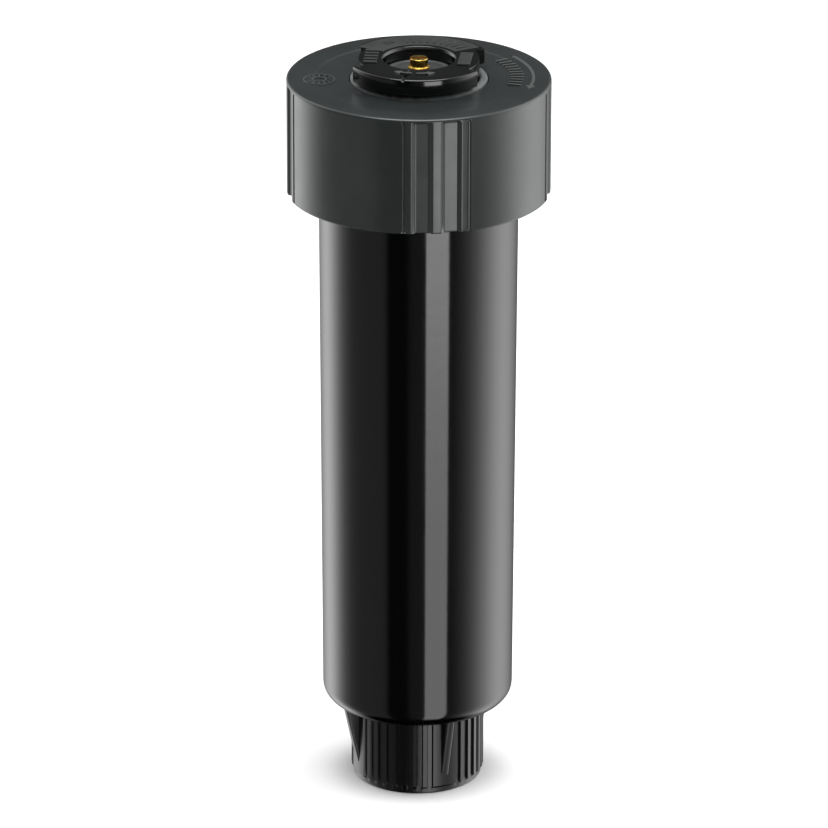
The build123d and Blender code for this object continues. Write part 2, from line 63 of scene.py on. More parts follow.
CAP_RADIUS, CAP_BOTTOM, CAP_TOP = extent("cap")
HEAD_RADIUS, HUB_BOTTOM, HEAD_TOP = extent("sector_ring")
CORE_RADIUS, CORE_FOOT, CORE_BOSS_TOP = extent("deflector_core")
CORE_BOSS_RISE = 0.45  # how far the boss round the screw stands above the core's floor
CORE_TOP = CORE_BOSS_TOP - CORE_BOSS_RISE
SEAL_RADIUS, SEAL_BOTTOM, SEAL_TOP = extent("wiper_seal")
RISER_FLANGE_RADIUS, RISER_BOTTOM, RISER_TOP = extent("riser_tube")
SCREW_FLANGE_RADIUS, SCREW_BOTTOM, SCREW_TOP = extent("adjusting_screw")
BODY_RIM = extent("body_shell")[2]
BOSS_TOP = 18.2  # where the ribbed inlet boss meets the barrel

# ---------------------------------------------------------------- mesh helpers


def rounded(*corners, steps=4):
    """A closed outline through corners (radius, height, fillet), with each fillet drawn as an arc."""
    points = []
    for index, (x, y, fillet) in enumerate(corners):
        here = Vector((x, y, 0))
        if not fillet:
            points.append((x, y))
            continue
        before = Vector((*corners[index - 1][:2], 0))
        after = Vector((*corners[(index + 1) % len(corners)][:2], 0))
        back, ahead = (before - here).normalized(), (after - here).normalized()
        half = back.angle(ahead) / 2
        centre = here + (back + ahead).normalized() * (fillet / sin(half))
        first = here + back * (fillet / tan(half)) - centre
        last = here + ahead * (fillet / tan(half)) - centre
        for step in range(steps + 1):
            point = centre + first.slerp(last, step / steps) * fillet
            points.append((point.x, point.y))
    return points


def level_rows(outline, radius, bottom, top, pitch):
    """The outline with extra points, pitch apart, along its upright stretch at that radius."""
    dense = []
    for here, after in zip(outline, outline[1:] + outline[:1]):
        dense.append(here)
        upright = abs(here[0] - radius) < SAME and abs(after[0] - radius) < SAME
        low, high = sorted((here[1], after[1]))
        if upright and high - low > pitch and low < top and high > bottom:
            count = int((high - low) / pitch)
            for step in range(1, count):
                share = step / count
                dense.append(
                    (here[0] + (after[0] - here[0]) * share, here[1] + (after[1] - here[1]) * share)
                )
    return dense


def finished(name, mesh, body, material, smooth_angle=35):
    """Turns a bmesh into a piece that rides on a body, with smooth faces and crisp edges."""
    bmesh.ops.remove_doubles(mesh, verts=mesh.verts, dist=1e-7)
    bmesh.ops.recalc_face_normals(mesh, faces=mesh.faces)
    data = bpy.data.meshes.new(name)
    mesh.to_mesh(data)
    mesh.free()
    data.shade_smooth()
    data.set_sharp_from_angle(angle=radians(smooth_angle))
    piece = bpy.data.objects.new(name, data)
    bpy.context.scene.collection.objects.link(piece)
    data.materials.append(material)
    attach(piece, body)
    return piece


def turned(outline, angles, shape=None):
    """The outline (radius, height) carried round the axis. shape(angle, radius, height) may bend it."""
    mesh = bmesh.new()
    columns = []
    for angle in angles:
        east, north = cos(radians(angle)) * MM, sin(radians(angle)) * MM
        column = []
        for radius, height in outline:
            if shape:
                radius, height = shape(angle, radius, height)
            column.append(mesh.verts.new((radius * east, radius * north, height * MM)))
        columns.append(column)
    count = len(outline)
    for here, after in zip(columns, columns[1:] + columns[:1]):
        for row in range(count):
            up = (row + 1) % count
            mesh.faces.new((here[row], after[row], after[up], here[up]))
    return mesh


def even_angles(count):
    return [360 * index / count for index in range(count)]


def swept(centres, ring_of, closed=False):
    """A tube whose section at each centre is ring_of(index): a list of points."""
    mesh = bmesh.new()
    rings = [[mesh.verts.new(point * MM) for point in ring_of(index)] for index in range(len(centres))]
    count = len(rings[0])
    pairs = list(zip(rings, rings[1:]))
    if closed:
        pairs.append((rings[-1], rings[0]))
    for here, after in pairs:
        for side in range(count):
            nxt = (side + 1) % count
            mesh.faces.new((here[side], here[nxt], after[nxt], after[side]))
    if not closed:
        mesh.faces.new(rings[0])
        mesh.faces.new(list(reversed(rings[-1])))
    return mesh


def add_arc_block(mesh, inner, outer, middle, spread, bottom, top, bevel):
    """Adds a raised piece of a ring, with bevelled edges, to a bmesh."""
    steps = max(2, int(spread / 3))
    verts = []
    for step in range(steps + 1):
        angle = radians(middle + spread * (step / steps - 0.5))
        east, north = cos(angle) * MM, sin(angle) * MM
        corners = ((inner, bottom), (outer, bottom), (outer, top), (inner, top))
        verts.append([mesh.verts.new((r * east, r * north, z * MM)) for r, z in corners])
    faces = [mesh.faces.new(verts[0]), mesh.faces.new(list(reversed(verts[-1])))]
    for here, after in zip(verts, verts[1:]):
        for side in range(4):
            nxt = (side + 1) % 4
            faces.append(mesh.faces.new((here[side], here[nxt], after[nxt], after[side])))
    bmesh.ops.recalc_face_normals(mesh, faces=faces)
    edges = {edge for face in faces for edge in face.edges if edge.calc_face_angle(0) > radians(30)}
    bmesh.ops.bevel(mesh, geom=list(edges), offset=bevel * MM, segments=2, affect="EDGES", profile=0.6)


def add_plate(mesh, corners, bottom, top, bevel):
    """Adds a flat plate with the given level outline (x, y) to a bmesh."""
    low = [mesh.verts.new((x * MM, y * MM, bottom * MM)) for x, y in corners]
    high = [mesh.verts.new((x * MM, y * MM, top * MM)) for x, y in corners]
    faces = [mesh.faces.new(list(reversed(low))), mesh.faces.new(high)]
    for side in range(len(corners)):
        nxt = (side + 1) % len(corners)
        faces.append(mesh.faces.new((low[side], low[nxt], high[nxt], high[side])))
    bmesh.ops.recalc_face_normals(mesh, faces=faces)
    bmesh.ops.bevel(mesh, geom=faces[1].edges[:], offset=bevel * MM, segments=2, affect="EDGES", profile=0.6)


def polar(radius, angle):
    return radius * cos(radians(angle)), radius * sin(radians(angle))


def smooth_step(value, low, high):
    """0 below low, 1 above high, and a smooth rise between."""
    share = min(1.0, max(0.0, (value - low) / (high - low)))
    return share * share * (3 - 2 * share)


def turn_from(angle, centre):
    """The signed difference between two angles, from -180 to 180."""
    return (angle - centre + 180) % 360 - 180


# ---------------------------------------------------------------- materials


def add_node(tree, kind, settings=None, **inputs):
    """A shader node with its settings and inputs; an input is a value or another node's output."""
    made = tree.nodes.new(kind)
    for name, value in (settings or {}).items():
        setattr(made, name, value)
    for name, value in inputs.items():
        socket = made.inputs[name.replace("_", " ")]
        if isinstance(value, bpy.types.NodeSocket):
            tree.links.new(value, socket)
        else:
            socket.default_value = value
    return made


def new_material(name):
    """An empty node material: its tree, its shader and the piece's own coordinates."""
    material = bpy.data.materials.new(name)
    material.use_nodes = True
    tree = material.node_tree
    shader = tree.nodes["Principled BSDF"]
    place = add_node(tree, "ShaderNodeTexCoord").outputs["Object"]
    return material, tree, shader, place


def noise(tree, place, scale, detail=3.0, stretch=(1, 1, 1)):
    """Noise with so many bumps per metre, stretched along the axes."""
    mapped = add_node(tree, "ShaderNodeMapping", Vector=place, Scale=stretch)
    made = add_node(tree, "ShaderNodeTexNoise", Vector=mapped.outputs["Vector"], Scale=scale, Detail=detail)
    return made.outputs["Fac"]


def between(tree, value, low, high, smallest=0.3, largest=0.7):
    """Maps a value from smallest..largest to low..high."""
    made = add_node(tree, "ShaderNodeMapRange", Value=value)
    made.inputs["From Min"].default_value = smallest
    made.inputs["From Max"].default_value = largest
    made.inputs["To Min"].default_value = low
    made.inputs["To Max"].default_value = high
    return made.outputs["Result"]


def mixed(tree, share, first, second):
    """A colour between two colours."""
    made = add_node(tree, "ShaderNodeMix", {"data_type": "RGBA"})
    for index, value in ((0, share), (6, first), (7, second)):
        if isinstance(value, bpy.types.NodeSocket):
            tree.links.new(value, made.inputs[index])
        else:
            made.inputs[index].default_value = value
    return made.outputs[2]


def bumped(tree, height, distance, strength, under=None):
    """A bump of that distance in metres, on top of another bump if one is given."""
    made = add_node(tree, "ShaderNodeBump", Height=height, Distance=distance, Strength=strength)
    if under is not None:
        tree.links.new(under, made.inputs["Normal"])
    return made.outputs["Normal"]


def shade(colour, factor):
    return (colour[0] * factor, colour[1] * factor, colour[2] * factor, 1)


# noise scales, in bumps per metre
DRIFT_SCALE = 45
PATCH_SCALE = 160
SCUFF_SCALE = 900
RIPPLE_SCALE = 420
GRAIN_SCALE = 5200
DUST_SCALE = 700
RUB_SCALE = 350
PIT_SCALE = 2600
TARNISH_SCALE = 800
POLISH_SCALE = 1500

PLASTIC_IOR = 1.5
RUBBER_IOR = 1.45
SATIN_ROUGHNESS = 0.26  # added to the gloss where the mould is textured
SATIN_FADE = 0.4  # height in millimetres over which the texture ends


def plastic(name, colour, rough, grain, spread=0.15, streaks=0.0, satin_below=None):
    """Moulded plastic: slow colour drift, fine grain, and faint handling marks.

    satin_below is a height in millimetres under which the mould is textured and the gloss is lower.
    """
    material, tree, shader, place = new_material(name)
    drift = between(tree, noise(tree, place, DRIFT_SCALE), 0, 1)
    body = mixed(tree, drift, shade(colour, 1 - spread), shade(colour, 1 + spread))
    tree.links.new(body, shader.inputs["Base Color"])
    patches = noise(tree, place, PATCH_SCALE, 4.0)
    scuffs = noise(tree, place, SCUFF_SCALE, 2.0, (1, 1, 0.06))
    smear = add_node(tree, "ShaderNodeMath", {"operation": "ADD"})
    tree.links.new(patches, smear.inputs[0])
    tree.links.new(between(tree, scuffs, 0, streaks), smear.inputs[1])
    gloss = between(tree, smear.outputs[0], rough * 0.86, rough * 1.14)
    if satin_below is not None:
        height = add_node(tree, "ShaderNodeSeparateXYZ", Vector=place).outputs["Z"]
        edge = satin_below + SATIN_FADE
        texture = between(tree, height, SATIN_ROUGHNESS, 0, satin_below * MM, edge * MM)
        summed = add_node(tree, "ShaderNodeMath", {"operation": "ADD"})
        tree.links.new(gloss, summed.inputs[0])
        tree.links.new(texture, summed.inputs[1])
        gloss = summed.outputs[0]
    tree.links.new(gloss, shader.inputs["Roughness"])
    coarse = bumped(tree, noise(tree, place, RIPPLE_SCALE), 0.00004, 0.12)
    fine = bumped(tree, noise(tree, place, GRAIN_SCALE, 2.0), 0.00002, grain, coarse)
    tree.links.new(fine, shader.inputs["Normal"])
    shader.inputs["IOR"].default_value = PLASTIC_IOR
    return material


def rubber(name, colour, mottle, rough=0.62):
    """Moulded elastomer: matt, mottled and slightly dusty."""
    material, tree, shader, place = new_material(name)
    dust = between(tree, noise(tree, place, DUST_SCALE, 5.0), 0, 1)
    body = mixed(tree, dust, shade(colour, 1 - mottle), shade(colour, 1 + mottle))
    tree.links.new(body, shader.inputs["Base Color"])
    rubbed = between(tree, noise(tree, place, RUB_SCALE), rough - 0.08, rough + 0.1)
    tree.links.new(rubbed, shader.inputs["Roughness"])
    pits = bumped(tree, noise(tree, place, PIT_SCALE, 4.0), 0.00005, 0.35)
    tree.links.new(pits, shader.inputs["Normal"])
    shader.inputs["IOR"].default_value = RUBBER_IOR
    return material


def turned_metal(name, colour, rough, line_scale):
    """Lathe-turned or drawn metal: fine tool lines across the axis and a little tarnish."""
    material, tree, shader, place = new_material(name)
    tarnish = between(tree, noise(tree, place, TARNISH_SCALE, 4.0), 0, 1, 0.35, 0.75)
    body = mixed(tree, tarnish, shade(colour, 1.0), shade(colour, 0.62))
    tree.links.new(body, shader.inputs["Base Color"])
    shader.inputs["Metallic"].default_value = 1.0
    polish = between(tree, noise(tree, place, POLISH_SCALE), rough * 0.75, rough * 1.3)
    tree.links.new(polish, shader.inputs["Roughness"])
    lines = noise(tree, place, line_scale, 2.0, (0.02, 0.02, 1))
    tree.links.new(bumped(tree, lines, 0.00002, 0.12), shader.inputs["Normal"])
    return material


BODY = plastic("body_gloss_black", (0.0010, 0.0011, 0.0012), 0.085, 0.02, streaks=0.12, satin_below=BOSS_TOP)
CAP = plastic("cap_satin_grey", (0.0190, 0.0218, 0.0218), 0.24, 0.07, streaks=0.1)
NOZZLE = plastic("nozzle_black", (0.0022, 0.0025, 0.0026), 0.12, 0.04)
# the raised marks are coloured lighter than the cap: a painted sheen, not a colour of their own
CAP_MARK_PAINTED_SHEEN = plastic("cap_mark_painted_sheen", (0.052, 0.057, 0.056), 0.4, 0.1)
THUMB = plastic("thumb_rest_satin", (0.022, 0.024, 0.024), 0.42, 0.15)
CORE = plastic("core_satin_grey", (0.034, 0.037, 0.037), 0.4, 0.12)
RISER = plastic("riser_black", (0.0060, 0.0064, 0.0068), 0.16, 0.04, streaks=0.2)
FILTER = plastic("filter_grey", (0.04, 0.045, 0.05), 0.45, 0.1)
ACETAL = plastic("acetal_white", (0.68, 0.67, 0.62), 0.34, 0.06, spread=0.05)
SEAL = rubber("seal_grey_rubber", (0.085, 0.092, 0.092), 0.35)
RUBBER = rubber("black_rubber", (0.012, 0.012, 0.012), 0.2, 0.5)
BRASS = turned_metal("turned_brass", (0.83, 0.55, 0.13), 0.24, 5000)
STEEL = turned_metal("spring_steel", (0.55, 0.54, 0.52), 0.26, 3000)

# ---------------------------------------------------------------- cap

GRIP_ANGLES = (-82.2, -3.0, 97.8, 185.9)  # middles of the four grip groups
FLUTE_OFFSET = 6.35  # each group has two flutes, this far from its middle, in degrees
FLUTE_FLOOR = 2.7
FLUTE_MOUTH = 4.7
FLUTE_DEPTH = 0.7
END_GROOVE_OFFSET = 14.4  # and a thin groove at each end
END_GROOVE_FLOOR = 0.25
END_GROOVE_MOUTH = 0.85
END_GROOVE_DEPTH = 0.4
GROUP_HALF = 16.0
COLUMN_PITCH = 0.25
GAP_COLUMNS = 28
CAP_EDGE = 0.6  # fillet of the cap's top edge
FLUTE_TOP = CAP_TOP - CAP_EDGE
CAP_WALL_INNER = 25.6
CAP_ROOF = 3.0  # thickness of the cap's top
CAP_HOLE = 15.0
LAND_INNER = 22.6  # the cap's top is flat outside this radius and dished inside it
DISH_OUTER, DISH_STEP = 22.0, 0.16
DISH_INNER, DISH_DROP = 17.4, 0.3
HOLE_DROP = 0.35
CAP_THREAD_PITCH = 3.0
CAP_THREAD_DEPTH = 1.1
CAP_THREAD_FLANK = (0.1, 0.8)  # part of the wave that forms a thread's flank
CAP_THREAD_SPAN = (CAP_BOTTOM + 6, CAP_TOP - CAP_ROOF - 0.6)


def cap_relief(angle):
    """How far the skirt is cut in at an angle, in millimetres: flat-floored flutes and end grooves."""
    turn = min(abs(turn_from(angle, middle)) for middle in GRIP_ANGLES)
    flute = abs(turn - FLUTE_OFFSET)
    if flute < FLUTE_MOUTH:
        floor = CAP_RADIUS - (CAP_RADIUS - FLUTE_DEPTH) / cos(radians(min(flute, FLUTE_FLOOR)))
        return floor * (1 - smooth_step(flute, FLUTE_FLOOR, FLUTE_MOUTH))
    groove = abs(turn - END_GROOVE_OFFSET)
    return END_GROOVE_DEPTH * (1 - smooth_step(groove, END_GROOVE_FLOOR, END_GROOVE_MOUTH))


def cap_thread(angle, height, phase=0.0):
    """The depth of the screw thread that the cap and the body share."""
    wave = cos(2 * pi * (height / CAP_THREAD_PITCH - angle / 360 + phase))
    return CAP_THREAD_DEPTH * smooth_step(wave, *CAP_THREAD_FLANK)


def cap_shape(angle, radius, height):
    """Cuts the flutes into the skirt and the thread into its inside."""
    if radius > CAP_RADIUS - CAP_EDGE:
        radius -= cap_relief(angle) * (1 - smooth_step(height, FLUTE_TOP - 0.5, FLUTE_TOP))
    if abs(radius - CAP_WALL_INNER) < SAME and CAP_THREAD_SPAN[0] < height < CAP_THREAD_SPAN[1]:
        radius -= cap_thread(angle, height)
    return radius, height


def cap_angles():
    """Columns that are close together in the grip groups and wide apart between them."""
    angles = []
    middles = GRIP_ANGLES + (GRIP_ANGLES[0] + 360,)
    fine = int(2 * GROUP_HALF / COLUMN_PITCH)
    for middle, following in zip(middles, middles[1:]):
        angles += [middle - GROUP_HALF + COLUMN_PITCH * step for step in range(fine + 1)]
        gap = following - middle - 2 * GROUP_HALF
        angles += [middle + GROUP_HALF + gap * step / GAP_COLUMNS for step in range(1, GAP_COLUMNS)]
    return angles


def make_cap():
    roof = CAP_TOP - CAP_ROOF
    outline = rounded(
        (CAP_HOLE, roof, 0.3),
        (CAP_WALL_INNER, roof, 0.4),
        (CAP_WALL_INNER, CAP_BOTTOM, 0.3),
        (CAP_RADIUS, CAP_BOTTOM, 0.35),
        (CAP_RADIUS, CAP_TOP, CAP_EDGE),
        (LAND_INNER, CAP_TOP, 0.6),
        (DISH_OUTER, CAP_TOP - DISH_STEP, 0.6),
        (DISH_INNER, CAP_TOP - DISH_DROP, 2),
        (CAP_HOLE, CAP_TOP - HOLE_DROP, 0.25),
    )
    outline = level_rows(outline, CAP_WALL_INNER, CAP_BOTTOM, roof, 0.25)
    outline = level_rows(outline, CAP_RADIUS, CAP_BOTTOM, CAP_TOP, 0.25)
    mesh = turned(outline, cap_angles(), cap_shape)
    cap = finished("cap_moulding", mesh, "housing", CAP)
    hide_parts("cap")


# ---------------------------------------------------------------- body shell

BOSS_RADIUS = 14.65
BARREL_FOOT = 20.9  # the barrel's radius at its foot and at its head
BARREL_HEAD = 21.6
BARREL_BORE = 18.6
BARREL_ROWS = (22.4, 23.5, 26.0, 60.0, 100.0, 130.0, 134.5, 136.0)  # close together near its ends
SHOULDER = CAP_BOTTOM + 1.2
NECK_RADIUS = 24.0
NECK_THREAD_SPAN = (CAP_BOTTOM + 5, BODY_RIM - 0.8)
SEAT_RADIUS = 20.9
SEAT_LEVEL = BODY_RIM - 4.1
GUSSET_ANGLE = -65.4
GUSSET_THICKNESS = 1.8
GUSSET_FOOT = 4.4
GUSSET_REACH = 17.8
GUSSET_ROUND = 0.3
GUSSET_SINK = 0.6  # how far a gusset runs into the boss and the barrel's floor
RIB_PITCH = 9.0
RIB_DEPTH = 0.55
RIB_FOOT = 1.5
RIB_EDGE = (0.42, 0.62)  # where a rib's flank begins and ends, from the middle of the groove
INLET_MINOR = 18.631 / 2
INLET_MAJOR = 20.955 / 2
INLET_PITCH = 25.4 / 14
INLET_THREAD_FOOT = 1.4
INLET_THREAD_TOP = 16.4
INLET_THREAD_FLANK = (0.14, 0.42)
INLET_CHAMFER = 1.162
FLOOR_TOP = 22.5
FLOOR_SEAT = 25.9
FLOOR_BORE = 15.2


def boss_radius(angle, height):
    """The ribbed boss: ribs from RIB_FOOT up, a smooth band either side of each gusset."""
    turn = (turn_from(angle, GUSSET_ANGLE) + 45) % 90 - 45
    root = BOSS_RADIUS - RIB_DEPTH
    grown = smooth_step(height, RIB_FOOT - 0.25, RIB_FOOT + 0.25)
    if abs(turn) < RIB_PITCH:
        rib = 1.0
    else:
        across = abs((turn - RIB_PITCH) % RIB_PITCH - RIB_PITCH / 2) / (RIB_PITCH / 2)
        rib = smooth_step(across, *RIB_EDGE)
    return root + RIB_DEPTH * rib * grown


def body_shape(angle, radius, height):
    """Shapes the boss's ribs, the inlet's thread and the thread that the cap screws on."""
    if height < BOSS_TOP + 0.01 and BOSS_RADIUS - 1.15 < radius < BOSS_RADIUS + 0.01:
        radius = min(radius - BOSS_RADIUS, 0) + boss_radius(angle, height)
    elif abs(radius - INLET_MINOR) < SAME and INLET_THREAD_FOOT < height < INLET_THREAD_TOP:
        wave = (height / INLET_PITCH - angle / 360) % 1
        start = smooth_step(height, INLET_THREAD_FOOT, 3.0)
        end = smooth_step(height, INLET_THREAD_TOP - 1.5, INLET_THREAD_TOP)
        flank = smooth_step(abs(wave - 0.5), *INLET_THREAD_FLANK)
        radius += (INLET_MAJOR - INLET_MINOR) * (start * (1 - end)) * (1 - flank)
    elif abs(radius - NECK_RADIUS) < SAME and NECK_THREAD_SPAN[0] < height < NECK_THREAD_SPAN[1]:
        radius += cap_thread(angle, height, 0.5)
    return radius, height


def body_angles():
    """Columns at the sides of every rib and gusset."""
    beside_gusset = (-7.5, -6.0, -4.0, -2.0, 0.0, 2.0, 4.0, 6.0, 7.5)
    across_rib = (0.0, 0.19, 0.24, 0.29, 0.4, 0.5, 0.6, 0.71, 0.76, 0.81)
    angles = []
    for quarter in range(4):
        middle = GUSSET_ANGLE + 90 * quarter
        turns = list(beside_gusset)
        for rib in range(8):
            start = RIB_PITCH * (1 + rib)
            turns += [start + RIB_PITCH * share for share in across_rib]
        turns.append(RIB_PITCH * 9)
        angles += [middle + turn for turn in sorted(turns)]
    return angles


def add_gusset(mesh, angle):
    """Adds one upright web between the boss and the barrel's floor, with rounded long edges."""
    outward, across = Vector((*polar(1, angle), 0)), Vector((*polar(1, angle + 90), 0))
    inside = BOSS_RADIUS - 1.2
    profile = (
        (inside, GUSSET_FOOT - GUSSET_SINK),
        (BOSS_RADIUS - 0.1, GUSSET_FOOT - GUSSET_SINK),
        (GUSSET_REACH, BOSS_TOP),
        (GUSSET_REACH, BOSS_TOP + GUSSET_SINK),
        (inside, BOSS_TOP + GUSSET_SINK),
    )
    sides = []
    for half in (-GUSSET_THICKNESS / 2, GUSSET_THICKNESS / 2):
        points = [outward * reach + across * half + Vector((0, 0, level)) for reach, level in profile]
        sides.append([mesh.verts.new(point * MM) for point in points])
    left, right = sides
    faces = [mesh.faces.new(left), mesh.faces.new(list(reversed(right)))]
    for corner in range(len(profile)):
        nxt = (corner + 1) % len(profile)
        faces.append(mesh.faces.new((left[corner], left[nxt], right[nxt], right[corner])))
    bmesh.ops.recalc_face_normals(mesh, faces=faces)
    outer = [edge for face in faces[:2] for edge in face.edges]
    bmesh.ops.bevel(mesh, geom=outer, offset=GUSSET_ROUND * MM, segments=3, affect="EDGES", profile=0.5)


def barrel_radius(height):
    """The radius of the barrel's gentle taper at a height."""
    share = (height - BOSS_TOP) / (SHOULDER - BOSS_TOP)
    return BARREL_FOOT + (BARREL_HEAD - BARREL_FOOT) * share


def make_body():
    outline = rounded(
        (INLET_MINOR, INLET_CHAMFER, 0),
        (INLET_MAJOR, 0, 0.1),
        (BOSS_RADIUS, 0, 0.35),
        (BOSS_RADIUS, RIB_FOOT - 0.3, 0),
        (BOSS_RADIUS, RIB_FOOT, 0),
        (BOSS_RADIUS, RIB_FOOT + 0.3, 0),
        (BOSS_RADIUS, GUSSET_FOOT, 0),
        (BOSS_RADIUS, (GUSSET_FOOT + BOSS_TOP) / 2, 0),
        (BOSS_RADIUS, BOSS_TOP, 0),
        (BARREL_FOOT, BOSS_TOP, 3.6),
        *((barrel_radius(height), height, 0) for height in BARREL_ROWS),
        (BARREL_HEAD, SHOULDER, 1.5),
        (NECK_RADIUS, SHOULDER + 3.0, 0.4),
        (NECK_RADIUS, BODY_RIM, 0.3),
        (SEAT_RADIUS, BODY_RIM, 0.2),
        (SEAT_RADIUS, SEAT_LEVEL, 0.2),
        (BARREL_BORE, SEAT_LEVEL, 0.2),
        (BARREL_BORE, FLOOR_SEAT, 0.5),
        (FLOOR_BORE, FLOOR_SEAT, 0.3),
        (FLOOR_BORE, FLOOR_TOP, 0.5),
        (INLET_MINOR, FLOOR_TOP, 0.4),
        steps=9,
    )
    outline = level_rows(outline, INLET_MINOR, 0, FLOOR_TOP, 0.22)
    outline = level_rows(outline, NECK_RADIUS, CAP_BOTTOM, BODY_RIM, 0.25)
    mesh = turned(outline, body_angles(), body_shape)
    body = finished("body_moulding", mesh, "housing", BODY)
    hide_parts("body_shell")

    gussets = bmesh.new()
    for quarter in range(4):
        add_gusset(gussets, GUSSET_ANGLE + 90 * quarter)
    finished("boss_gussets", gussets, "housing", BODY)


# ---------------------------------------------------------------- seal and spring

SEAL_LIP = 10.8  # touches the riser
SEAL_BEAD = CAP_HOLE - 0.2  # fills the cap's hole


def make_seal():
    lip, bead, rim = SEAL_LIP, SEAL_BEAD, SEAT_RADIUS - 0.1
    roof = CAP_TOP - CAP_ROOF
    outline = rounded(
        (lip, SEAL_BOTTOM + 0.9, 0.25),
        (lip + 0.9, SEAL_BOTTOM, 0.2),
        (rim, SEAL_BOTTOM, 0.2),
        (rim, BODY_RIM, 0),
        (SEAL_RADIUS, BODY_RIM, 0.2),
        (SEAL_RADIUS, roof, 0.2),
        (bead, roof, 0),
        (bead, SEAL_TOP - 0.3, 0.6),
        (bead - 1.6, SEAL_TOP, 0.6),
        (bead - 2.2, roof + 0.4, 0.3),
        (lip + 1.0, roof - 0.4, 0.2),
        (lip, roof - 1.4, 0.2),
        steps=5,
    )
    mesh = turned(outline, even_angles(160))
    seal = finished("wiper_seal_moulding", mesh, "housing", SEAL)
    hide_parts("wiper_seal")


SPRING_MEAN = 13.5
SPRING_WIRE = 1.3
SPRING_TURNS = 14
DEAD_TURNS = 1.25
STEPS_PER_TURN = 40
WIRE_SIDES = 10


def make_spring():
    """A compression spring with closed end turns, at the length of the CAD spring; nothing here shortens it
    as the riser rises.
    """
    low, high = extent("retract_spring")[1:]
    bottom, top = low + SPRING_WIRE / 2, high - SPRING_WIRE / 2
    count = SPRING_TURNS * STEPS_PER_TURN + 1
    end_rise = DEAD_TURNS * SPRING_WIRE
    centres = []
    for step in range(count):
        turn = step / STEPS_PER_TURN
        middle = (turn - DEAD_TURNS) / (SPRING_TURNS - 2 * DEAD_TURNS)
        if middle < 0:
            height = bottom + SPRING_WIRE * turn
        elif middle > 1:
            height = top - SPRING_WIRE * (SPRING_TURNS - turn)
        else:
            height = bottom + end_rise + (top - bottom - 2 * end_rise) * middle
        angle = 2 * pi * turn
        centres.append(Vector((SPRING_MEAN * cos(angle), SPRING_MEAN * sin(angle), height)))

    def section(index):
        before, after = centres[max(index - 1, 0)], centres[min(index + 1, count - 1)]
        along = (after - before).normalized()
        outward = Vector((centres[index].x, centres[index].y, 0)).normalized()
        across = along.cross(outward).normalized()
        points = []
        for side in range(WIRE_SIDES):
            turn = 2 * pi * side / WIRE_SIDES
            points.append(centres[index] + (outward * cos(turn) + across * sin(turn)) * SPRING_WIRE / 2)
        return points

    spring = finished("spring_wire", swept(centres, section), "housing", STEEL)
    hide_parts("retract_spring")
    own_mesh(spring)


# ---------------------------------------------------------------- nozzle head

HEAD_BOTTOM = 163.4
PLATE_TOP = HEAD_TOP - 0.35
LIP_TOP = PLATE_TOP + 0.12
LIP_WIDTH = 1.6  # the rim and its slope, where the head may be lowered
NOTCH_RADIUS = 13.0
NOTCH_HALF = 30.0
NOTCH_ANGLE = -6.0
NOTCH_WALL = 0.7  # how much of the rim's width is left in a notch
RECESS_RADIUS = CORE_RADIUS + 0.3
HUB_RADIUS = 8.8
CUP_RADIUS = 9.5
LEDGE_RADIUS = 6.4
PAD_RADIUS = 9.95
PAD_LENGTH = 2.7
PAD_WIDTH = 8.0
BAR_PAD_RADIUS = 10.25
BAR_PAD_ANGLE = 176.0
BAR_LENGTH = 2.9
BAR_WIDTH = 1.0
BAR_PITCH = 1.9
NICK_ANGLE = -103.0  # a small nick in the front of the rim
NICK_DEPTH = 0.35
NICK_EDGE = (0.8, 1.6)
END_PITCH = 0.4  # columns at the notch ends and at the nick, in degrees


def in_notch(angle):
    turn = abs((turn_from(angle, NOTCH_ANGLE) + 90) % 180 - 90)
    return 1 - smooth_step(turn, NOTCH_HALF - 1.2, NOTCH_HALF)


def head_shape(angle, radius, height):
    """Cuts the notches, lowers the rim at the back, cuts the nick and widens the front of the hub."""
    start = NOTCH_RADIUS - NOTCH_WALL
    if radius > start:
        notch = in_notch(angle)
        squeezed = start + (radius - start) * NOTCH_WALL / (HEAD_RADIUS - start)
        if radius > HEAD_RADIUS - LIP_WIDTH and height > PLATE_TOP:
            back = smooth_step(sin(radians(angle)), -0.1, 0.1)
            height -= (height - PLATE_TOP) * max(back, notch)
        if radius > HEAD_RADIUS - LIP_WIDTH and height > PLATE_TOP - 0.5:
            height -= NICK_DEPTH * (1 - smooth_step(abs(turn_from(angle, NICK_ANGLE)), *NICK_EDGE))
        radius += (squeezed - radius) * notch
    if radius > HUB_RADIUS - 0.3 and height < HEAD_BOTTOM - 0.05 and sin(radians(angle)) < 0:
        radius += CUP_RADIUS - 0.3 - HUB_RADIUS
    return radius, height


def head_angles():
    """Even columns, with extra ones at the ends of the notches and across the nick."""
    angles = set(even_angles(180))
    for side in (0, 180):
        for end in (-NOTCH_HALF, NOTCH_HALF):
            for step in range(-3, 4):
                angles.add((NOTCH_ANGLE + side + end + step * END_PITCH) % 360)
    for step in range(-4, 5):
        angles.add((NICK_ANGLE + step * END_PITCH) % 360)
    return sorted(angles)


def add_block(mesh, radius, angle, aside, length, width, top):
    """Adds a level rectangular block at a radius and an angle, moved sideways by aside."""
    corners = []
    turn = radians(angle)
    for along, across in ((-1, -1), (1, -1), (1, 1), (-1, 1)):
        reach, side = radius + along * length / 2, aside + across * width / 2
        corners.append((reach * cos(turn) - side * sin(turn), reach * sin(turn) + side * cos(turn)))
    add_plate(mesh, corners, PLATE_TOP - 0.1, top, 0.12)


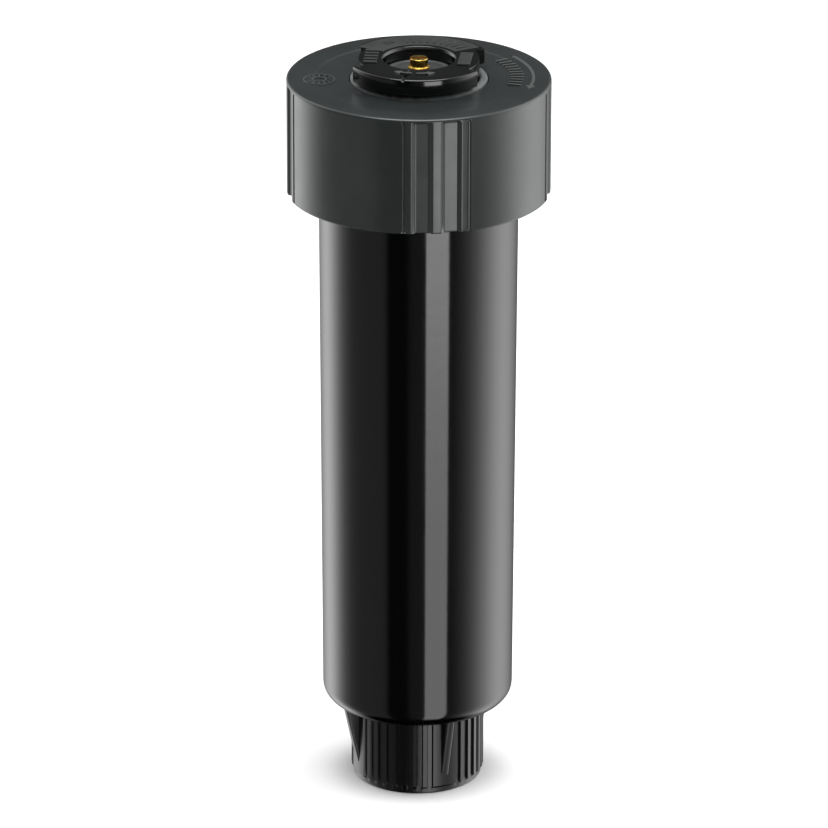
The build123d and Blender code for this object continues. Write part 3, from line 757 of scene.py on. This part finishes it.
def make_head():
    ledge = CORE_TOP - 1.7
    outline = rounded(
        (LEDGE_RADIUS, HUB_BOTTOM, 0),
        (HUB_RADIUS, HUB_BOTTOM, 0),
        (HUB_RADIUS, HEAD_BOTTOM, 0),
        (HEAD_RADIUS, HEAD_BOTTOM, 0.25),
        (HEAD_RADIUS, LIP_TOP, 0.42),
        (HEAD_RADIUS - 0.95, LIP_TOP, 0.2),
        (HEAD_RADIUS - 1.3, PLATE_TOP, 0.2),
        (RECESS_RADIUS + 0.35, PLATE_TOP, 0.3),
        (RECESS_RADIUS, PLATE_TOP - 0.6, 0.2),
        (RECESS_RADIUS, ledge, 0),
        (LEDGE_RADIUS, ledge, 0),
    )
    mesh = turned(outline, head_angles(), head_shape)
    head = finished("head_moulding", mesh, "sector_collar", NOZZLE)
    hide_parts("sector_ring")

    pads = bmesh.new()
    add_block(pads, PAD_RADIUS, NOTCH_ANGLE, 0, PAD_LENGTH, PAD_WIDTH, HEAD_TOP)
    for bar in range(-2, 3):
        add_block(pads, BAR_PAD_RADIUS, BAR_PAD_ANGLE, BAR_PITCH * bar, BAR_LENGTH, BAR_WIDTH, HEAD_TOP)
    finished("thumb_rests", pads, "sector_collar", THUMB)


def add_arrow(mesh, radius, width, start, end, bottom, top):
    """A curved arrow from one angle to another, with its head at the end."""
    way = 1 if end > start else -1
    tip = degrees(2.6 * width / radius)
    inner, outer, bevel = radius - width / 2, radius + width / 2, width / 5
    add_arc_block(mesh, inner, outer, (start + end) / 2, abs(end - start), bottom, top, bevel)
    corners = [
        polar(radius - 1.5 * width, end),
        polar(radius + 1.5 * width, end),
        polar(radius, end + way * tip),
    ]
    add_plate(mesh, corners if way > 0 else corners[::-1], bottom, top, bevel)


# the setting marks: radii in millimetres, angles and spreads in degrees
ARROW_RADIUS = 10.8
ARROW_WIDTH = 0.6
ARROW_SPANS = ((-93, -80), (-98, -111))
PANEL_RADII = (8.8, 14.9)
PANEL_MIDDLE, PANEL_SPREAD = 90, 122
SCALE_RADII = (10.0, 13.4)
SCALE_START, SCALE_PITCH, SCALE_BARS = 37, 8.5, 9
SCALE_BAR_SPREAD = 2.4
END_BAR_RADII = (11.1, 11.7)
END_BAR_MIDDLE, END_BAR_SPREAD = 123, 11


def make_head_marks():
    """Plain setting marks on the head: an arrow each way at the front and a scale of bars at the back."""
    low, high = PLATE_TOP - 0.05, PLATE_TOP + 0.28
    marks = bmesh.new()
    for start, end in ARROW_SPANS:
        add_arrow(marks, ARROW_RADIUS, ARROW_WIDTH, start, end, low, high)
    # the arrows take the marks' lighter colour, which is a painted sheen
    finished("setting_arrows", marks, "sector_collar", CAP_MARK_PAINTED_SHEEN)

    marks = bmesh.new()
    add_arc_block(marks, *PANEL_RADII, PANEL_MIDDLE, PANEL_SPREAD, PLATE_TOP - 0.1, PLATE_TOP + 0.06, 0.03)
    for bar in range(SCALE_BARS):
        middle = SCALE_START + SCALE_PITCH * bar
        add_arc_block(marks, *SCALE_RADII, middle, SCALE_BAR_SPREAD, low, high, 0.1)
    for out in range(2):
        inner, outer = END_BAR_RADII[0] + out, END_BAR_RADII[1] + out
        add_arc_block(marks, inner, outer, END_BAR_MIDDLE, END_BAR_SPREAD, low, high, 0.1)
    finished("head_marks", marks, "sector_collar", THUMB)


CORE_BORE = 1.53
CORE_NECK = 2.6
CORE_NECK_FOOT = 160.9
CORE_COLLAR = 3.4
CORE_STEM = 4.7
CORE_STEM_FOOT = CORE_FOOT + 1.6
CORE_UNDERSIDE = CORE_TOP - 1.4
CORE_GROOVE_INNER, CORE_GROOVE_OUTER = 3.2, 6.4
CORE_GROOVE_LEVEL = CORE_TOP - 0.15
CORE_RIM_INNER = 6.6
CORE_BOSS = 2.7


def make_core():
    """The round floor in the head's recess, with a shallow dish and a boss round the screw."""
    outline = rounded(
        (CORE_BORE, CORE_NECK_FOOT, 0),
        (CORE_NECK, CORE_NECK_FOOT, 0),
        (CORE_NECK, CORE_FOOT, 0),
        (CORE_COLLAR, CORE_FOOT, 0),
        (CORE_COLLAR, CORE_STEM_FOOT, 0),
        (CORE_STEM, CORE_STEM_FOOT, 0),
        (CORE_STEM, CORE_UNDERSIDE, 0.2),
        (CORE_RADIUS, CORE_UNDERSIDE, 0.15),
        (CORE_RADIUS, CORE_TOP, 0.2),
        (CORE_RIM_INNER, CORE_TOP, 0.15),
        (CORE_GROOVE_OUTER, CORE_GROOVE_LEVEL, 0.15),
        (CORE_GROOVE_INNER, CORE_GROOVE_LEVEL, 0.2),
        (CORE_BOSS, CORE_TOP, 0.1),
        (CORE_BOSS, CORE_BOSS_TOP, 0.12),
        (CORE_BORE, CORE_BOSS_TOP, 0),
    )
    core = finished("core_moulding", turned(outline, even_angles(120)), "riser", CORE)
    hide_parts("deflector_core")


# ---------------------------------------------------------------- brass radius screw

SCREW_SHANK = 1.45
SCREW_HEAD = 1.95
SCREW_FLANGE_FOOT = CORE_BOSS_TOP + 0.1
SCREW_FLANGE_TOP = SCREW_FLANGE_FOOT + 0.45
SCREW_THREAD_PITCH = 0.5
SCREW_THREAD_HALF = 0.14  # half of the thread's depth
SLOT_ANGLE = 8.0
SLOT_HALF = 0.4
SLOT_DEPTH = 1.1
CLIP_GROOVE = (157.6, 158.1)
CLIP_GROOVE_RADIUS = 1.15
CUTTER_LENGTH = 8
CUTTER_SPARE = 1  # height that the slot's cutter has above the screw


def screw_shape(angle, radius, height):
    if abs(radius - SCREW_SHANK) < 0.02 and height < CLIP_GROOVE[0] - 1:
        wave = cos(2 * pi * (height / SCREW_THREAD_PITCH - angle / 360))
        radius -= SCREW_THREAD_HALF * (1 + wave)
    return radius, height


def make_screw():
    """The brass screw: a threaded shank, a groove for its clip, a flange and a slotted head."""
    outline = rounded(
        (0, SCREW_BOTTOM, 0),
        (SCREW_SHANK, SCREW_BOTTOM, 0.2),
        (SCREW_SHANK, CLIP_GROOVE[0], 0),
        (CLIP_GROOVE_RADIUS, CLIP_GROOVE[0], 0),
        (CLIP_GROOVE_RADIUS, CLIP_GROOVE[1], 0),
        (SCREW_SHANK, CLIP_GROOVE[1], 0),
        (SCREW_SHANK, SCREW_FLANGE_FOOT, 0),
        (SCREW_FLANGE_RADIUS, SCREW_FLANGE_FOOT, 0.1),
        (SCREW_FLANGE_RADIUS, SCREW_FLANGE_TOP, 0.12),
        (SCREW_HEAD, SCREW_FLANGE_TOP, 0.08),
        (SCREW_HEAD, SCREW_TOP, 0.14),
        (0, SCREW_TOP, 0),
    )
    outline = level_rows(outline, SCREW_SHANK, SCREW_BOTTOM, CLIP_GROOVE[0], 0.1)
    mesh = turned(outline, even_angles(72), screw_shape)
    screw = finished("brass_screw", mesh, "radius_screw", BRASS)
    cutter_mesh = bmesh.new()
    raised = Matrix.Translation((0, 0, (SCREW_TOP - SLOT_DEPTH / 2 + CUTTER_SPARE / 2) * MM))
    turned_slot = Matrix.Rotation(radians(SLOT_ANGLE), 4, "Z")
    size = Matrix.Diagonal((CUTTER_LENGTH * MM, 2 * SLOT_HALF * MM, (SLOT_DEPTH + CUTTER_SPARE) * MM, 1))
    bmesh.ops.create_cube(cutter_mesh, size=1, matrix=raised @ turned_slot @ size)
    cutter_data = bpy.data.meshes.new("slot_cutter")
    cutter_mesh.to_mesh(cutter_data)
    cutter_mesh.free()
    cutter = bpy.data.objects.new("slot_cutter", cutter_data)
    bpy.context.scene.collection.objects.link(cutter)
    cut = screw.modifiers.new("slot", "BOOLEAN")
    cut.object = cutter
    cut.solver = "EXACT"
    graph = bpy.context.evaluated_depsgraph_get()
    slotted = bpy.data.meshes.new_from_object(screw.evaluated_get(graph))
    screw.modifiers.clear()
    screw.data = slotted
    bpy.data.objects.remove(cutter)
    slotted.shade_smooth()
    slotted.set_sharp_from_angle(angle=radians(35))
    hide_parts("adjusting_screw")


# ---------------------------------------------------------------- riser tube

RISER_RADIUS = 10.5
RISER_BORE = 8.3
SHOULDER_RADIUS = 12.2
SHOULDER_TOP = 52.6
SHOULDER_FOOT = RISER_BOTTOM + 2
NECK_FOOT = 149.4  # the threaded neck that the nozzle screws on
NECK_THREAD_RADIUS = RISER_RADIUS - 1.3
NECK_THREAD_PITCH = 1.5
NECK_THREAD_DEPTH = 0.4


def riser_shape(angle, radius, height):
    if abs(radius - NECK_THREAD_RADIUS) < SAME and NECK_FOOT + 0.6 < height < RISER_TOP - 0.5:
        wave = cos(2 * pi * (height / NECK_THREAD_PITCH - angle / 360))
        radius += NECK_THREAD_DEPTH * smooth_step(wave, 0, 0.8)
    return radius, height


def make_riser():
    outline = rounded(
        (RISER_BORE, RISER_BOTTOM, 0.3),
        (RISER_FLANGE_RADIUS, RISER_BOTTOM, 0.3),
        (RISER_FLANGE_RADIUS, SHOULDER_FOOT, 0.2),
        (SHOULDER_RADIUS, SHOULDER_FOOT, 0),
        (SHOULDER_RADIUS, SHOULDER_TOP, 0.2),
        (RISER_RADIUS, SHOULDER_TOP, 0),
        (RISER_RADIUS, NECK_FOOT, 0.25),
        (NECK_THREAD_RADIUS, NECK_FOOT, 0),
        (NECK_THREAD_RADIUS, RISER_TOP, 0.2),
        (RISER_BORE, RISER_TOP, 0.2),
    )
    outline = level_rows(outline, NECK_THREAD_RADIUS, NECK_FOOT, RISER_TOP, 0.2)
    mesh = turned(outline, even_angles(144), riser_shape)
    riser = finished("riser_moulding", mesh, "riser", RISER)
    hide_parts("riser_tube")


# ---------------------------------------------------------------- marks on the cap's top


DATE_RING_PLACE = (21.5, -174.3)  # radius and angle of its centre
DATE_RING_RADII = (3.3, 1.5)
RING_LEVEL = CAP_TOP - 0.1
RING_STEPS = 40
RING_SECTION = ((-0.16, -0.25), (0.16, -0.25), (0.1, 0.25), (-0.1, 0.25))  # out and up from its middle
TICKS = 12
TICK_INNER, TICK_OUTER, TICK_HALF = 1.9, 2.9, 0.12
TURN_ARROW = (24.6, 0.7, 34, -14)  # radius, width, first and last angle
GRIP_BARS = 11
GRIP_RADII = (19.6, 22.6)
GRIP_START, GRIP_PITCH, GRIP_SPREAD = 32, 4.6, 1.5


def add_ring(mesh, centre, radius):
    """Adds a thin raised ring on the cap's top to a bmesh."""
    centres = [centre + Vector((*polar(radius, angle), RING_LEVEL)) for angle in even_angles(RING_STEPS)]

    def section(index):
        outward = (centres[index] - centre - Vector((0, 0, RING_LEVEL))).normalized()
        return [centres[index] + outward * out + Vector((0, 0, rise)) for out, rise in RING_SECTION]

    ring = swept(centres, section, closed=True)
    data = bpy.data.meshes.new("ring")
    ring.to_mesh(data)
    ring.free()
    mesh.from_mesh(data)
    bpy.data.meshes.remove(data)


def make_cap_marks():
    """A ring with spokes on the left, and a turning arrow with grip bars on the right."""
    marks = bmesh.new()
    low, high = CAP_TOP - 0.35, CAP_TOP + 0.15
    centre = Vector((*polar(*DATE_RING_PLACE), 0))
    for radius in DATE_RING_RADII:
        add_ring(marks, centre, radius)
    inner, outer, half = TICK_INNER, TICK_OUTER, TICK_HALF
    for angle in even_angles(TICKS):
        along, across = Vector((*polar(1, angle), 0)), Vector((*polar(1, angle + 90), 0))
        ends = ((inner, -half), (outer, -half), (outer, half), (inner, half))
        corners = [centre + along * out + across * side for out, side in ends]
        add_plate(marks, [(corner.x, corner.y) for corner in corners], low, high, 0.04)
    add_arrow(marks, *TURN_ARROW, low, high)
    for bar in range(GRIP_BARS):
        add_arc_block(marks, *GRIP_RADII, GRIP_START - GRIP_PITCH * bar, GRIP_SPREAD, low, high, 0.08)
    # these marks take the lighter colour, which is a painted sheen
    finished("cap_marks", marks, "housing", CAP_MARK_PAINTED_SHEEN)


# ---------------------------------------------------------------- carried-over nodes

CARRIED = {
    "seal_retainer": ACETAL,
    "ratchet_ring": ACETAL,
    "spring_washer": ACETAL,
    "riser_ratchet": ACETAL,
    "throttle_plug": ACETAL,
    "riser_base_seal": RUBBER,
    "nozzle_gasket": RUBBER,
    "sector_friction_ring": RUBBER,
    "screw_o_ring": RUBBER,
    "filter_frame": FILTER,
    "filter_mesh": FILTER,
    "nozzle_base": NOZZLE,
    "screw_clip": STEEL,
}


def dress_carried_nodes():
    for name, material in CARRIED.items():
        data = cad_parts[name].data
        data.materials.clear()
        data.materials.append(material)


# ---------------------------------------------------------------- studio

CAMERA_DISTANCE = 1548.0
CAMERA_ELEVATION = 21.55
CAMERA_AIM = 84.7  # height of the point that it looks at
CAMERA_ROLL = 0.13
LENS = 308.0
SENSOR = 36
FRAME_SHIFT = -0.0050
FLOOR_HALF = 4  # metres


def make_camera():
    data = bpy.data.cameras.new("camera")
    data.lens = LENS
    data.sensor_width = SENSOR
    data.shift_x = FRAME_SHIFT
    data.clip_start = 0.05
    camera = bpy.data.objects.new("camera", data)
    rise = radians(CAMERA_ELEVATION)
    place = Vector((0, -CAMERA_DISTANCE * cos(rise), CAMERA_AIM + CAMERA_DISTANCE * sin(rise))) * MM
    tilt = Matrix.Rotation(pi / 2 - rise, 4, "X") @ Matrix.Rotation(radians(CAMERA_ROLL), 4, "Z")
    camera.matrix_world = Matrix.Translation(place) @ tilt
    bpy.context.scene.collection.objects.link(camera)
    bpy.context.scene.camera = camera


def make_floor():
    """A plain white floor. Glossy sides mirror the studio's dark lower half instead of it."""
    mesh = bmesh.new()
    bmesh.ops.create_grid(mesh, x_segments=8, y_segments=8, size=FLOOR_HALF)
    data = bpy.data.meshes.new("floor")
    mesh.to_mesh(data)
    mesh.free()
    floor = bpy.data.objects.new("floor", data)
    bpy.context.scene.collection.objects.link(floor)
    material, tree, shader, place = new_material("floor_white")
    tint = between(tree, noise(tree, place, 3), 0, 1)
    white = mixed(tree, tint, (0.9, 0.9, 0.9, 1), (0.92, 0.92, 0.92, 1))
    tree.links.new(white, shader.inputs["Base Color"])
    shader.inputs["Roughness"].default_value = 0.9
    shader.inputs["Specular IOR Level"].default_value = 0.1
    data.materials.append(material)
    floor.visible_glossy = False


# The studio's world: compass angles run from the front towards +X, and levels are the height of a
# direction's unit vector, from -1 straight down to 1 straight up.
LEFT_PANEL = (-126.0, 16.5, 2.5)  # angle, spread, brightness
RIGHT_PANEL = (105.0, 24.0, 3.2)
LEFT_GLOW = (-104.0, 66.0, 6.0, 0.28)  # angle, half width, softness, brightness
NEAR_GLOW = (2.0, 10.0, 8.0, 0.13)
STRIP = (22.25, 13.25, 1.6)  # angle, half width, softness
STRIP_BASE = 3.0
STRIP_CREST = 2.4  # added to the strip above the crest's levels
CREST = (-0.385, -0.350)
UNDER_HORIZON = (0.13, -0.03)  # glows and strip: dark above the first level, full below the second
PANELS_FROM = (-0.9, -0.7)
PANELS_TO = (0.87, 0.57)
CEILING = 0.85
CEILING_FADE = (0.5, 0.8)
AMBIENT = 0.015


def make_world():
    """Two upright soft panels, two glows, a narrow strip at the front, a dim room and a bright ceiling."""
    world = bpy.data.worlds.new("studio")
    world.use_nodes = True
    bpy.context.scene.world = world
    tree = world.node_tree
    background = tree.nodes["Background"]
    heading = add_node(tree, "ShaderNodeTexCoord").outputs["Generated"]
    split = add_node(tree, "ShaderNodeSeparateXYZ", Vector=heading)
    level = add_node(tree, "ShaderNodeVectorMath", {"operation": "MULTIPLY"})
    tree.links.new(heading, level.inputs[0])
    level.inputs[1].default_value = (1, 1, 0)
    compass = add_node(tree, "ShaderNodeVectorMath", {"operation": "NORMALIZE"})
    tree.links.new(level.outputs[0], compass.inputs[0])

    def math_node(operation, first, second=0.0):
        made = tree.nodes.new("ShaderNodeMath")
        made.operation = operation
        for index, value in enumerate((first, second)):
            if isinstance(value, bpy.types.NodeSocket):
                tree.links.new(value, made.inputs[index])
            else:
                made.inputs[index].default_value = value
        return made.outputs[0]

    def closeness(angle):
        """The cosine of the compass angle away from a direction."""
        made = add_node(tree, "ShaderNodeVectorMath", {"operation": "DOT_PRODUCT"})
        tree.links.new(compass.outputs[0], made.inputs[0])
        made.inputs[1].default_value = (sin(radians(angle)), -cos(radians(angle)), 0)
        return made.outputs["Value"]

    def window(value, low, high):
        made = add_node(tree, "ShaderNodeMapRange", {"interpolation_type": "SMOOTHSTEP"}, Value=value)
        made.inputs["From Min"].default_value = low
        made.inputs["From Max"].default_value = high
        return made.outputs["Result"]

    glow = AMBIENT
    for angle, spread, brightness in (LEFT_PANEL, RIGHT_PANEL):
        sharpness = 1 / radians(spread) ** 2
        fall = math_node("MULTIPLY", math_node("SUBTRACT", closeness(angle), 1.0), sharpness)
        glow = math_node("ADD", math_node("MULTIPLY", math_node("EXPONENT", fall), brightness), glow)
    height = split.outputs["Z"]
    crest = math_node("MULTIPLY", window(height, *CREST), STRIP_CREST)
    strip = math_node("ADD", crest, STRIP_BASE)
    under = window(height, *UNDER_HORIZON)
    for angle, half, soft, brightness in (LEFT_GLOW, NEAR_GLOW, (*STRIP, strip)):
        inner, outer = cos(radians(half - soft)), cos(radians(half + soft))
        band = math_node("MULTIPLY", window(closeness(angle), outer, inner), brightness)
        glow = math_node("ADD", glow, math_node("MULTIPLY", band, under))
    lit = math_node("MULTIPLY", window(height, *PANELS_FROM), window(height, *PANELS_TO))
    glow = math_node("MULTIPLY", lit, glow)
    ceiling = math_node("MULTIPLY", window(height, *CEILING_FADE), CEILING)
    glow = math_node("ADD", glow, ceiling)
    tree.links.new(glow, background.inputs["Strength"])
    background.inputs["Color"].default_value = (1, 1, 1, 1)


# the overhead soft box, in metres and watts
OVERHEAD_SIZE = 1.1
OVERHEAD_POWER = 17
OVERHEAD_PLACE = (0, -0.15, 1.3)


def make_lights():
    """A large soft box above the sprinkler."""
    data = bpy.data.lights.new("overhead", "AREA")
    data.shape = "DISK"
    data.size = OVERHEAD_SIZE
    data.energy = OVERHEAD_POWER
    light = bpy.data.objects.new("overhead", data)
    light.location = OVERHEAD_PLACE
    bpy.context.scene.collection.objects.link(light)


# ---------------------------------------------------------------- assembly

make_camera()
make_floor()
make_world()
make_lights()
bpy.context.scene.view_settings.view_transform = "Standard"

make_cap()
make_cap_marks()
make_body()
make_seal()
make_spring()
make_head()
make_head_marks()
make_core()
make_screw()
make_riser()
dress_carried_nodes()
